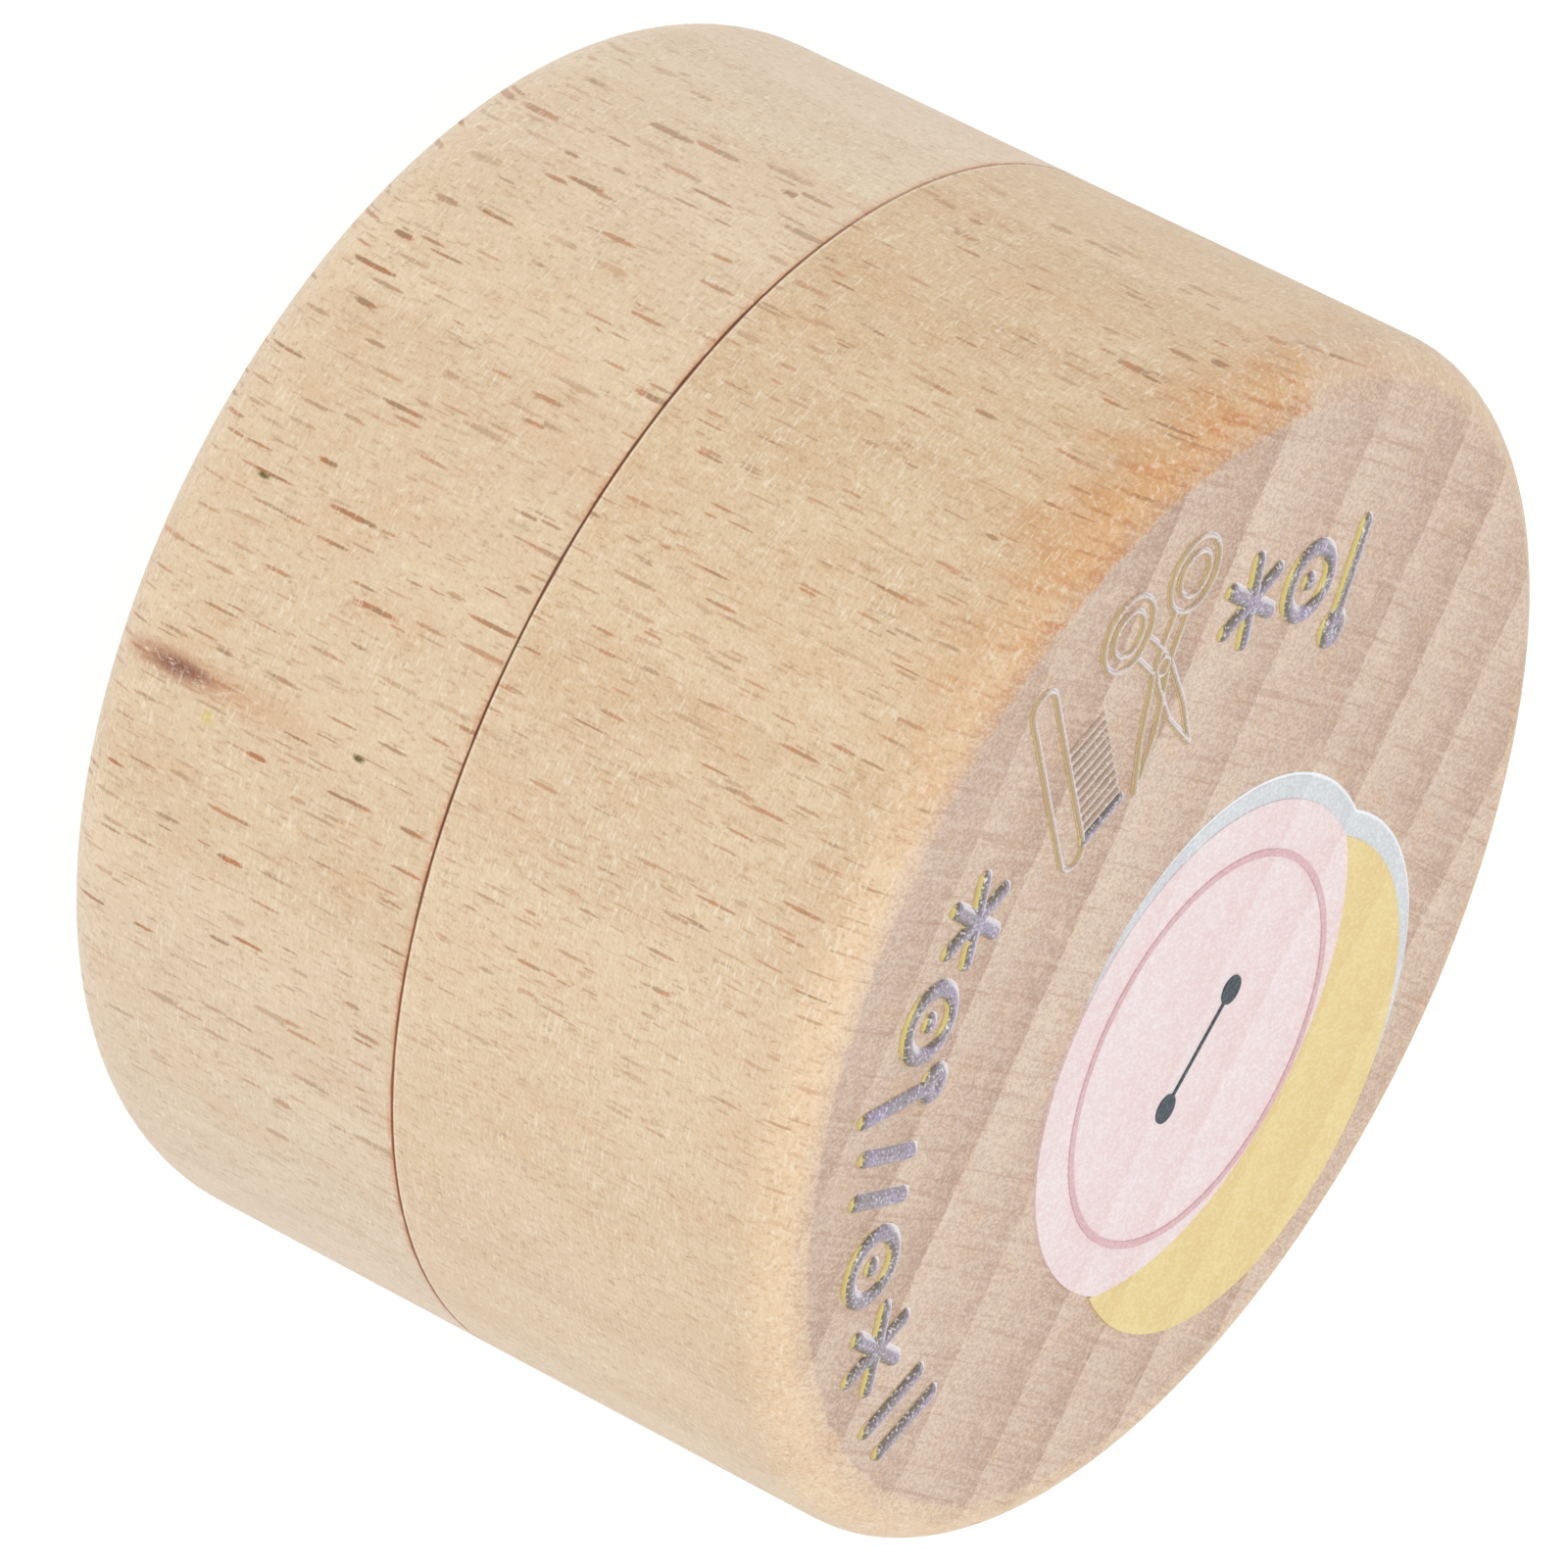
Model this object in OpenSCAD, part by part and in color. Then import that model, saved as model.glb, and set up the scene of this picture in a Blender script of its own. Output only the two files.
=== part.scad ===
// Small round turned-wood notions box: a base cup with a spigot and a push-on lid.
// The lid carries a printed picture in thin ink films and a ring of raised varnish marks.
// Units are millimetres. The box stands on z = 0 with its axis on Z; the picture's top is +Y.

/* [Box] */
// Outside diameter of both halves
box_d = 50; // [36:0.5:90]
// Height of the closed box
box_h = 35; // [26:0.5:60]
// Height of the joint line above the table
seam_z = 17.25; // [12:0.25:40]
// Rounding of the base's bottom edge
foot_round = 4; // [1:0.25:6]
// Rounding of the lid's top edge
lid_round = 2.2; // [1:0.1:6]

/* [Turning] */
// Thickness of the base's floor
floor_t = 4.5; // [2:0.25:8]
// Thickness of the lid's top
top_t = 4.5; // [2:0.25:8]
// Thickness of the lid's skirt beside the spigot
skirt_t = 2.6; // [1.5:0.1:5]
// Height of the spigot above the joint line
spigot_h = 5; // [3:0.25:10]
// Thickness of the spigot
spigot_t = 2; // [1.2:0.1:4]
// Radial gap between the spigot and the lid's socket
spigot_gap = 0.06; // [0.02:0.01:0.1]
// Gap between the spigot's rim and the end of the lid's socket
socket_end_gap = 0.3; // [0.1:0.05:1]
// Rounding of the inside corners
inner_round = 2.5; // [0.5:0.25:4]
// Bevel where an edge was broken with sandpaper
edge_break = 0.4; // [0.1:0.05:1]
// Bevel on both outer edges at the joint line
seam_break = 0.06; // [0.02:0.01:0.5]

/* [Picture] */
// Radius of the printed button
button_r = 10.4; // [5:0.1:12]
// Centre of the printed button on the lid
button_at = [2.7, 5.5]; // [-10:0.1:10]
// Turn of the whole picture on the lid
picture_turn = -5; // [-45:1:45]
// How far the white ground is out of register
ground_shift = [-0.95, -0.1]; // [-2:0.05:2]
// Thickness of one ink film
film_t = 0.06; // [0.04:0.01:0.2]
// Spacing of the button's two holes
hole_pitch = 5.2; // [2:0.1:8]
// Radius of the button's holes
hole_r = 0.62; // [0.3:0.02:1.5]

/* [Raised marks] */
// Height of the bold raised marks
relief_h = 0.24; // [0.1:0.02:0.6]
// Height of the fine raised outlines
fine_h = 0.16; // [0.06:0.02:0.4]
// Width of a bold raised stroke
bold_w = 0.76; // [0.4:0.02:1.5]
// Width of a fine raised line
fine_w = 0.22; // [0.15:0.01:0.5]
// Radius of the arc on which the marks stand
arc_r = 18.2; // [10:0.1:22]
// Centre of that arc on the lid
arc_at = [2.4, 1.5]; // [-5:0.1:5]

/* [Hidden] */
$fn = 96;
outer_r = box_d / 2;
socket_r = outer_r - skirt_t;
spigot_r = socket_r - spigot_gap;
hollow_r = spigot_r - spigot_t;
spigot_top = seam_z + spigot_h;
socket_top = spigot_top + socket_end_gap;
ceiling_z = box_h - top_t;
wood = [0.87, 0.76, 0.62];
varnish = [0.60, 0.58, 0.60];
over = 1;

// Raised marks of each group: [angle on the arc, kind of mark].
left_marks = [[189, "pin"], [198.5, "ring"], [211.5, "star"]];
right_marks = [[269, "star"], [282, "ring"], [292, "pin"], [302, "pair"],
               [315, "ring"], [329, "star"], [343.5, "pair"]];
scissors_angle = 229.5;
comb_angle = 246.5;

// ---- helpers for turned profiles: x is the radius and y is the height ----

// Waste outside a rounded corner. sx and sy point from the corner's round centre to the corner.
module corner_waste(at, r, sx, sy) {
    translate([at[0] - sx * r, at[1] - sy * r]) scale([sx, sy]) difference() {
        square(r + over);
        circle(r = r);
    }
}

// Waste outside a bevelled corner.
module bevel_waste(at, size, sx, sy) {
    translate(at) scale([sx, sy])
        polygon([[-size, 0], [0, -size], [over, -size], [over, over], [-size, over]]);
}

// ---- wooden halves ----

module base_profile() {
    difference() {
        union() {
            square([outer_r, seam_z]);
            square([spigot_r, spigot_top]);
        }
        corner_waste([outer_r, 0], foot_round, 1, -1);
        bevel_waste([outer_r, seam_z], seam_break, 1, 1);
        bevel_waste([spigot_r, spigot_top], edge_break, 1, 1);
        difference() {
            translate([0, floor_t]) square([hollow_r, spigot_top]);
            corner_waste([hollow_r, floor_t], inner_round, 1, -1);
        }
        bevel_waste([hollow_r, spigot_top], edge_break, -1, 1);
    }
}

module base() {
    color(wood) rotate_extrude() base_profile();
}

module lid_profile() {
    difference() {
        translate([0, seam_z]) square([outer_r, box_h - seam_z]);
        corner_waste([outer_r, box_h], lid_round, 1, 1);
        bevel_waste([outer_r, seam_z], seam_break, 1, -1);
        bevel_waste([socket_r, seam_z], edge_break, -1, -1);
        translate([0, seam_z - over]) square([socket_r, socket_top - seam_z + over]);
        difference() {
            translate([0, seam_z - over]) square([hollow_r, ceiling_z - seam_z + over]);
            corner_waste([hollow_r, ceiling_z], inner_round, 1, 1);
        }
    }
}

module lid() {
    color(wood) rotate_extrude() lid_profile();
}

// ---- printed picture: a sewing button with a crescent of thread over its rim ----

module on_lid(z = 0) {
    translate([0, 0, box_h + z]) children();
}

module picture() {
    translate(button_at) rotate(picture_turn) children();
}

module button_outline() {
    circle(r = button_r);
}

// Crescent that hugs the upper half of the button and stands out beyond its rim.
thread_r = 10.5;
thread_at = [0.1, 5.1];
thread_cut_r = 11.5;
thread_cut_at = [0, -3];
module thread_outline() {
    difference() {
        translate(thread_at) circle(r = thread_r);
        translate(thread_cut_at) circle(r = thread_cut_r);
    }
}

module print_white() {
    color([0.85, 0.87, 0.88]) on_lid() linear_extrude(film_t)
        translate(ground_shift) picture() union() {
            button_outline();
            thread_outline();
        }
}

// A film that lies on the wood and laps over the white ground.
module lapped_film() {
    difference() {
        on_lid() linear_extrude(2 * film_t) children();
        print_white();
    }
}

module print_pink() {
    color([0.95, 0.84, 0.84]) lapped_film() picture() difference() {
        button_outline();
        thread_outline();
    }
}

module print_yellow() {
    color([0.93, 0.83, 0.58]) lapped_film() picture() thread_outline();
}

// Line that marks the button's raised rim.
rim_line_r = 8.2;
rim_line_w = 0.3;
module print_rose() {
    color([0.86, 0.70, 0.70]) on_lid(2 * film_t) linear_extrude(film_t) picture() difference() {
        loop_line(rim_line_r, rim_line_w);
        thread_outline();
    }
}

// The two holes and the stitch between them lie on the pink film.
stitch_w = 0.16;
module print_dark() {
    color([0.30, 0.35, 0.38]) on_lid(2 * film_t) linear_extrude(film_t) picture() union() {
        for (side = [-1, 1])
            translate([side * hole_pitch / 2, 0]) circle(r = hole_r);
        square([hole_pitch, stitch_w], center = true);
    }
}

// ---- raised marks, each drawn upright around its own centre ----

module stroke(from, to, w) {
    way = to - from;
    translate(from) circle(d = w);
    translate(to) circle(d = w);
    translate(from) rotate(atan2(way[1], way[0])) translate([0, -w / 2]) square([norm(way), w]);
}

module loop_line(r, w) {
    difference() {
        circle(r = r + w / 2);
        circle(r = r - w / 2);
    }
}

// Dressmaker's pin with a round head.
pin_head_r = 0.9;
module pin_mark() {
    stroke([0.4, -2.4], [-0.3, 1.5], bold_w);
    translate([-0.4, 1.9]) circle(r = pin_head_r);
}

// Small round button with one dot in its middle.
ring_r = 1.4;
ring_dot_r = 0.42;
module ring_mark() {
    loop_line(ring_r, bold_w);
    circle(r = ring_dot_r);
}

// Six-armed star stitch.
star_r = 1.75;
module star_mark() {
    for (a = [30, 90, 150]) rotate(a) stroke([-star_r, 0], [star_r, 0], bold_w);
}

// Two slanting stitches side by side.
pair_pitch = 1.9;
module pair_mark() {
    for (side = [-1, 1])
        translate([side * pair_pitch / 2, 0]) stroke([-0.4, -1.6], [0.4, 1.6], bold_w);
}

module mark(kind) {
    if (kind == "pin") pin_mark();
    if (kind == "ring") ring_mark();
    if (kind == "star") star_mark();
    if (kind == "pair") pair_mark();
}

// Puts a drawing on the arc with its top towards the arc's centre.
module on_arc(angle) {
    translate(arc_at) rotate(angle) translate([arc_r, 0]) rotate(90) children();
}

module marks(list) {
    color(varnish) on_lid() linear_extrude(relief_h)
        for (m = list) on_arc(m[0]) mark(m[1]);
}

module relief_left() {
    marks(left_marks);
}

module relief_right() {
    marks(right_marks);
}

// Open scissors in fine outline: each half is a narrow blade and, past the rivet, a round bow.
rivet_r = 0.4;
blade_turn = 17;
blade_l = 5.4;
blade_w = 0.95;
blade_taper_y = 3;
bow_turn = 34;
bow_reach = 3.7;
bow_r = 1.55;
bow_wall = 0.62;
module scissors_half() {
    rotate(-blade_turn) for (side = [-1, 1]) {
        stroke([side * blade_w / 2, rivet_r], [side * blade_w / 2, blade_taper_y], fine_w);
        stroke([side * blade_w / 2, blade_taper_y], [0.15, blade_l], fine_w);
    }
    rotate(-bow_turn) {
        translate([0, -bow_reach]) {
            loop_line(bow_r, fine_w);
            loop_line(bow_r - bow_wall, fine_w);
        }
        for (side = [-1, 1])
            stroke([side * blade_w / 2, -rivet_r], [side * blade_w / 2, bow_r - bow_reach], fine_w);
    }
}

module relief_scissors() {
    color(varnish) on_lid() linear_extrude(fine_h) on_arc(scissors_angle) union() {
        scissors_half();
        mirror([1, 0]) scissors_half();
        loop_line(rivet_r, fine_w);
    }
}

// Comb in fine outline: a long back with a round-ended handle, and teeth along its upper part.
comb_back_w = 1.4;
comb_back_l = 8.6;
comb_lean = -6;
comb_teeth = 11;
tooth_l = 2.3;
tooth_pitch = 0.5;
guard_w = 0.5;
module comb_outline() {
    tooth_x = -comb_back_w / 2;
    top_y = comb_back_l / 2;
    difference() {
        stroke([0, -top_y], [0, top_y], comb_back_w + fine_w);
        stroke([0, -top_y], [0, top_y], comb_back_w - fine_w);
    }
    for (i = [0:comb_teeth - 1])
        translate([tooth_x, top_y - i * tooth_pitch])
            stroke([-tooth_l, 0], [0, 0], i == 0 ? guard_w : fine_w);
}

module relief_comb() {
    color(varnish) on_lid() linear_extrude(fine_h)
        on_arc(comb_angle) rotate(comb_lean) translate([tooth_l / 2, 0]) comb_outline();
}

base();
lid();
print_white();
print_pink();
print_yellow();
print_rose();
print_dark();
relief_left();
relief_right();
relief_scissors();
relief_comb();
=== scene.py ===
"""A small round box turned from beech, with a printed and varnished picture on its push-on lid.

The wooden halves and the ink films are the frame's own nodes. The raised varnish marks are rebuilt
here with rounded tops. Beside them are added the ochre edge of a misplaced print pass and a pale
film that is a painted highlight. Meshes are in metres in the frame's axes. Textures and drawings
are in millimetres, and MM turns those into metres.
"""

import math

import bmesh
import bpy
from mathutils import Matrix, Vector


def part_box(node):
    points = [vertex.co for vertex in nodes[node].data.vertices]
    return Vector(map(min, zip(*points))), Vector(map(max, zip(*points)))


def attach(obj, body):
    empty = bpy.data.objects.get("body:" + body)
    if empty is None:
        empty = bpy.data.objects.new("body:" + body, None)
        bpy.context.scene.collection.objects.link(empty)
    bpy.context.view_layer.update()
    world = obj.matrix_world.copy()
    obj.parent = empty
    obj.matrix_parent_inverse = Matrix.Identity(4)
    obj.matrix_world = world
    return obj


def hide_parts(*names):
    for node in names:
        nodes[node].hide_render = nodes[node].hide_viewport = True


MM = 0.001
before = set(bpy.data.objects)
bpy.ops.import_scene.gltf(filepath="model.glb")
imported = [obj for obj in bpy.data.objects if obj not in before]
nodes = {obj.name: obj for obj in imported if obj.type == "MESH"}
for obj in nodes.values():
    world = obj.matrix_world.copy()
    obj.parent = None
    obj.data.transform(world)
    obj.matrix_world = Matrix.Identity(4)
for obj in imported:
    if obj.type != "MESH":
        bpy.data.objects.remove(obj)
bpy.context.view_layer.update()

# The box's sizes in metres.
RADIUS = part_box("base")[1].x
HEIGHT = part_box("lid")[1].z
SEAM_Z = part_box("lid")[0].z

# The same sizes in millimetres, and the flat face inside the lid's rounded edge.
WALL_RADIUS = RADIUS / MM
FACE_Z = HEIGHT / MM
JOINT_Z = SEAM_Z / MM
LID_ROUND = 2.2
FACE_RADIUS = WALL_RADIUS - LID_ROUND


# ---------------------------------------------------------------- shader graph helper


def srgb(red, green, blue):
    """A display colour given in 0 to 255, as linear RGBA."""

    def linear(value):
        value /= 255.0
        return value / 12.92 if value <= 0.04045 else ((value + 0.055) / 1.055) ** 2.4

    return (linear(red), linear(green), linear(blue), 1.0)


class Graph:
    """Builds one material's nodes. Numbers, tuples and output sockets can all be passed as inputs."""

    def __init__(self, name):
        self.material = bpy.data.materials.new(name)
        self.material.use_nodes = True
        self.tree = self.material.node_tree
        self.tree.nodes.clear()

    def put(self, socket, value):
        """Links an output socket to an input, or sets the input to a number or a tuple."""
        if isinstance(value, bpy.types.NodeSocket):
            self.tree.links.new(value, socket)
        else:
            socket.default_value = value

    def node(self, kind, **settings):
        made = self.tree.nodes.new(kind)
        for name, value in settings.items():
            setattr(made, name, value)
        return made

    def math(self, operation, a, b=0.0, c=0.0):
        made = self.node("ShaderNodeMath", operation=operation)
        for socket, value in zip(made.inputs, (a, b, c)):
            self.put(socket, value)
        return made.outputs[0]

    def add(self, a, b):
        return self.math("ADD", a, b)

    def times(self, a, b):
        return self.math("MULTIPLY", a, b)

    def vector_math(self, operation, a, b=(0.0, 0.0, 0.0)):
        made = self.node("ShaderNodeVectorMath", operation=operation)
        self.put(made.inputs[0], a)
        self.put(made.inputs[1], b)
        gives_number = operation in ("LENGTH", "DOT_PRODUCT")
        return made.outputs["Value"] if gives_number else made.outputs["Vector"]

    def combine(self, x, y, z):
        made = self.node("ShaderNodeCombineXYZ")
        for socket, value in zip(made.inputs, (x, y, z)):
            self.put(socket, value)
        return made.outputs[0]

    def split(self, vector):
        made = self.node("ShaderNodeSeparateXYZ")
        self.put(made.inputs[0], vector)
        return tuple(made.outputs)

    def ramp(self, value, low, high, to_low=0.0, to_high=1.0):
        """Smooth step of value from low to high, onto to_low to to_high."""
        made = self.node("ShaderNodeMapRange", interpolation_type="SMOOTHSTEP")
        for name, item in (("Value", value), ("From Min", low), ("From Max", high),
                           ("To Min", to_low), ("To Max", to_high)):
            self.put(made.inputs[name], item)
        return made.outputs[0]

    def noise(self, vector, scale, detail=2.0, roughness=0.5):
        """Noise of 0 to 1. scale is in cells per unit: one number, or one for each axis."""
        if isinstance(scale, tuple):
            vector = self.vector_math("MULTIPLY", vector, scale)
            scale = 1.0
        made = self.node("ShaderNodeTexNoise", noise_dimensions="3D")
        self.put(made.inputs["Vector"], vector)
        made.inputs["Scale"].default_value = scale
        made.inputs["Detail"].default_value = detail
        made.inputs["Roughness"].default_value = roughness
        return made.outputs["Fac"]

    def emboss(self, vector, scale, shift, strength):
        """Bumps painted as light and shade, 0 to 1 round 0.5, light on the side that shift points away
        from.
        """
        ahead = self.noise(self.vector_math("ADD", vector, shift), scale, 1.0)
        rise = self.math("SUBTRACT", self.noise(vector, scale, 1.0), ahead)
        return self.math("MULTIPLY_ADD", rise, strength, 0.5)

    def random(self, value):
        """A random value of 0 to 1 for each value given."""
        made = self.node("ShaderNodeTexWhiteNoise", noise_dimensions="1D")
        self.put(made.inputs["W"], value)
        return made.outputs["Value"]

    def curve(self, value, points):
        """value through straight pieces between these rising (value, result) points."""
        made = self.node("ShaderNodeFloatCurve")
        low, high = points[0], points[-1]
        track = made.mapping.curves[0].points
        for x, y in points[1:-1]:
            track.new((x - low[0]) / (high[0] - low[0]), (y - low[1]) / (high[1] - low[1]))
        for point in track:
            point.handle_type = "VECTOR"
        made.mapping.update()
        share = self.math("DIVIDE", self.math("SUBTRACT", value, low[0]), high[0] - low[0])
        self.put(made.inputs["Value"], share)
        return self.math("MULTIPLY_ADD", made.outputs[0], high[1] - low[1], low[1])

    def mix(self, share, a, b):
        """Colour a with this share of colour b laid over it."""
        made = self.node("ShaderNodeMix", data_type="RGBA", blend_type="MIX")
        for name, value in (("Factor_Float", share), ("A_Color", a), ("B_Color", b)):
            self.put(next(s for s in made.inputs if s.identifier == name), value)
        return next(s for s in made.outputs if s.identifier == "Result_Color")

    def point_mm(self):
        """Where a point is on its own piece, in millimetres of the frame."""
        coordinate = self.node("ShaderNodeTexCoord")
        return self.vector_math("MULTIPLY", coordinate.outputs["Object"], (1 / MM,) * 3)

    def object_normal(self):
        return self.node("ShaderNodeTexCoord").outputs["Normal"]

    def bump(self, height, depth_mm, strength):
        made = self.node("ShaderNodeBump")
        made.inputs["Strength"].default_value = strength
        made.inputs["Distance"].default_value = depth_mm * MM
        self.put(made.inputs["Height"], height)
        return made.outputs[0]

    def finish(self, clear_back=False, **sockets):
        """Ends in a Principled shader with these sockets, named with underscores for spaces.

        With clear_back the surface can't be seen from behind.
        """
        shader = self.node("ShaderNodeBsdfPrincipled")
        for name, value in sockets.items():
            self.put(shader.inputs[name.replace("_", " ")], value)
        surface = shader.outputs[0]
        if clear_back:
            blend = self.node("ShaderNodeMixShader")
            self.put(blend.inputs[0], self.node("ShaderNodeNewGeometry").outputs["Backfacing"])
            self.put(blend.inputs[1], surface)
            self.put(blend.inputs[2], self.node("ShaderNodeBsdfTransparent").outputs[0])
            surface = blend.outputs[0]
        self.put(self.node("ShaderNodeOutputMaterial").inputs[0], surface)
        return self.material


# ---------------------------------------------------------------- wood

# The tree's axis runs along Z. The growth rings cross the lid nearly level, and the rays are thin
# upright sheets square to them. RING_EDGES are the levels, in millimetres along Y, where the dark late
# wood of each ring ends on the lid's middle line.
RING_EDGES = (-30, -24.8, -19.3, -14.3, -8.9, -2.5, 4.5, 8.9, 14.4, 19.3, 24.5, 30)
RING_SLOPE = 0.088
RING_FAN = -0.0034
RING_BEND = 0.00055
RING_DRIFT = 1.2
RING_RAGGED = 0.35

# The end grain's pores, and its raised nap painted as light and shade, also show through the ink.
PORE_SCALE = (4.2, 3.2, 3.2)
NAP_SCALE = (7.0, 5.2, 7.4)
NAP_SHIFT = (-0.045, -0.035, 0.065)
NAP_STRENGTH = 2.0

CREAMY_WOOD, PINK_WOOD = srgb(238, 216, 180), srgb(224, 186, 144)
FIBRE_LIGHT, FIBRE_DARK = srgb(246, 230, 204), srgb(184, 146, 106)
PORE_LIGHT, PORE_DARK = srgb(242, 226, 210), srgb(180, 144, 120)
# Painted light and painted shade on the nap's bumps.
NAP_PAINTED_LIGHT, NAP_PAINTED_SHADE = srgb(250, 236, 214), srgb(170, 128, 96)
RAY_BROWN, RAY_RED = srgb(160, 120, 84), srgb(190, 120, 74)
RAY_LINE_LIGHT, RAY_LINE_DARK = srgb(238, 218, 198), srgb(178, 134, 108)
SCUFF_LIGHT, SCUFF_DARK = srgb(252, 242, 224), srgb(188, 156, 122)
BURNISH_DARK, BURNISH_PALE = srgb(112, 56, 28), srgb(158, 88, 48)


def ring_tone(g, point):
    """(0 to 1 for light to dark wood across each growth ring, a random value for each ring)."""
    x, y, _ = g.split(point)
    slope = g.math("MULTIPLY_ADD", y, RING_FAN, RING_SLOPE)
    level = g.add(g.math("SUBTRACT", y, g.times(x, slope)), g.times(g.times(x, x), RING_BEND))
    drift = g.math("SUBTRACT", g.noise(point, (0.06, 0.06, 0.02), 2.0), 0.5)
    ragged = g.math("SUBTRACT", g.noise(point, (0.9, 0.9, 0.1), 2.0), 0.5)
    level = g.add(g.math("MULTIPLY_ADD", drift, RING_DRIFT, level), g.times(ragged, RING_RAGGED))
    rings = g.curve(level, [(edge, index) for index, edge in enumerate(RING_EDGES)])
    part = g.math("FRACT", rings)
    late = g.math("POWER", part, 1.2)
    return g.times(late, g.ramp(part, 1.0, 0.965)), g.random(g.math("FLOOR", rings))


def along_rays(g, point):
    """A point as (across the rays, along them, up the trunk)."""
    x, y, z = g.split(point)
    lean = g.math("MULTIPLY_ADD", y, RING_FAN / 2, RING_SLOPE)
    return g.combine(g.math("MULTIPLY_ADD", y, lean, x), y, z)


def ray_flecks(g, grain, cell, half, seed):
    """Thin dark rays that show on the wall as short upright dashes.

    grain is a point from along_rays, and cell and half are the rays' spacing and half size in its
    axes, in millimetres. Returns (0 to 1 where a ray is, a random strength for each).
    """
    offset = (seed, seed * 1.7, seed * 2.3)
    scaled = g.vector_math("ADD", g.vector_math("DIVIDE", grain, cell), offset)
    cells = g.node("ShaderNodeTexVoronoi", voronoi_dimensions="3D", feature="F1")
    cells.inputs["Scale"].default_value = 1.0
    cells.inputs["Randomness"].default_value = 0.9
    g.put(cells.inputs["Vector"], scaled)
    away = g.vector_math("SUBTRACT", scaled, cells.outputs["Position"])
    away = g.vector_math("MULTIPLY", away, tuple(c / h for c, h in zip(cell, half)))
    dx, dy, dz = g.split(away)
    strength, longer, wider = g.split(cells.outputs["Color"])
    dx = g.math("DIVIDE", dx, g.math("MULTIPLY_ADD", wider, 0.7, 0.55))
    dz = g.math("DIVIDE", dz, g.math("MULTIPLY_ADD", longer, 0.8, 0.5))
    blunt_end = g.math("POWER", g.math("ABSOLUTE", dz), 3.0)
    spread = g.add(g.times(dx, dx), g.add(blunt_end, g.times(dy, dy)))
    ragged = g.math("SUBTRACT", g.noise(grain, (9.0, 2.0, 7.0), 2.0, 0.6), 0.5)
    spread = g.math("MULTIPLY_ADD", ragged, 1.7, spread)
    return g.ramp(spread, 1.3, 0.3), strength


def spindle(g, point, centre, half, core=0.35):
    """0 to 1 inside a soft ellipsoid, for one mark at a known place."""
    away = g.vector_math("SUBTRACT", point, centre)
    away = g.vector_math("DIVIDE", away, half)
    return g.ramp(g.vector_math("LENGTH", away), 1.0, core)


def speckle(g, colour, value, light, dark, share):
    """Lays light grains where value is high and dark ones where it is low."""
    colour = g.mix(g.ramp(value, 0.54, 0.70, 0.0, share), colour, light)
    return g.mix(g.ramp(value, 0.46, 0.30, 0.0, share), colour, dark)


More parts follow.
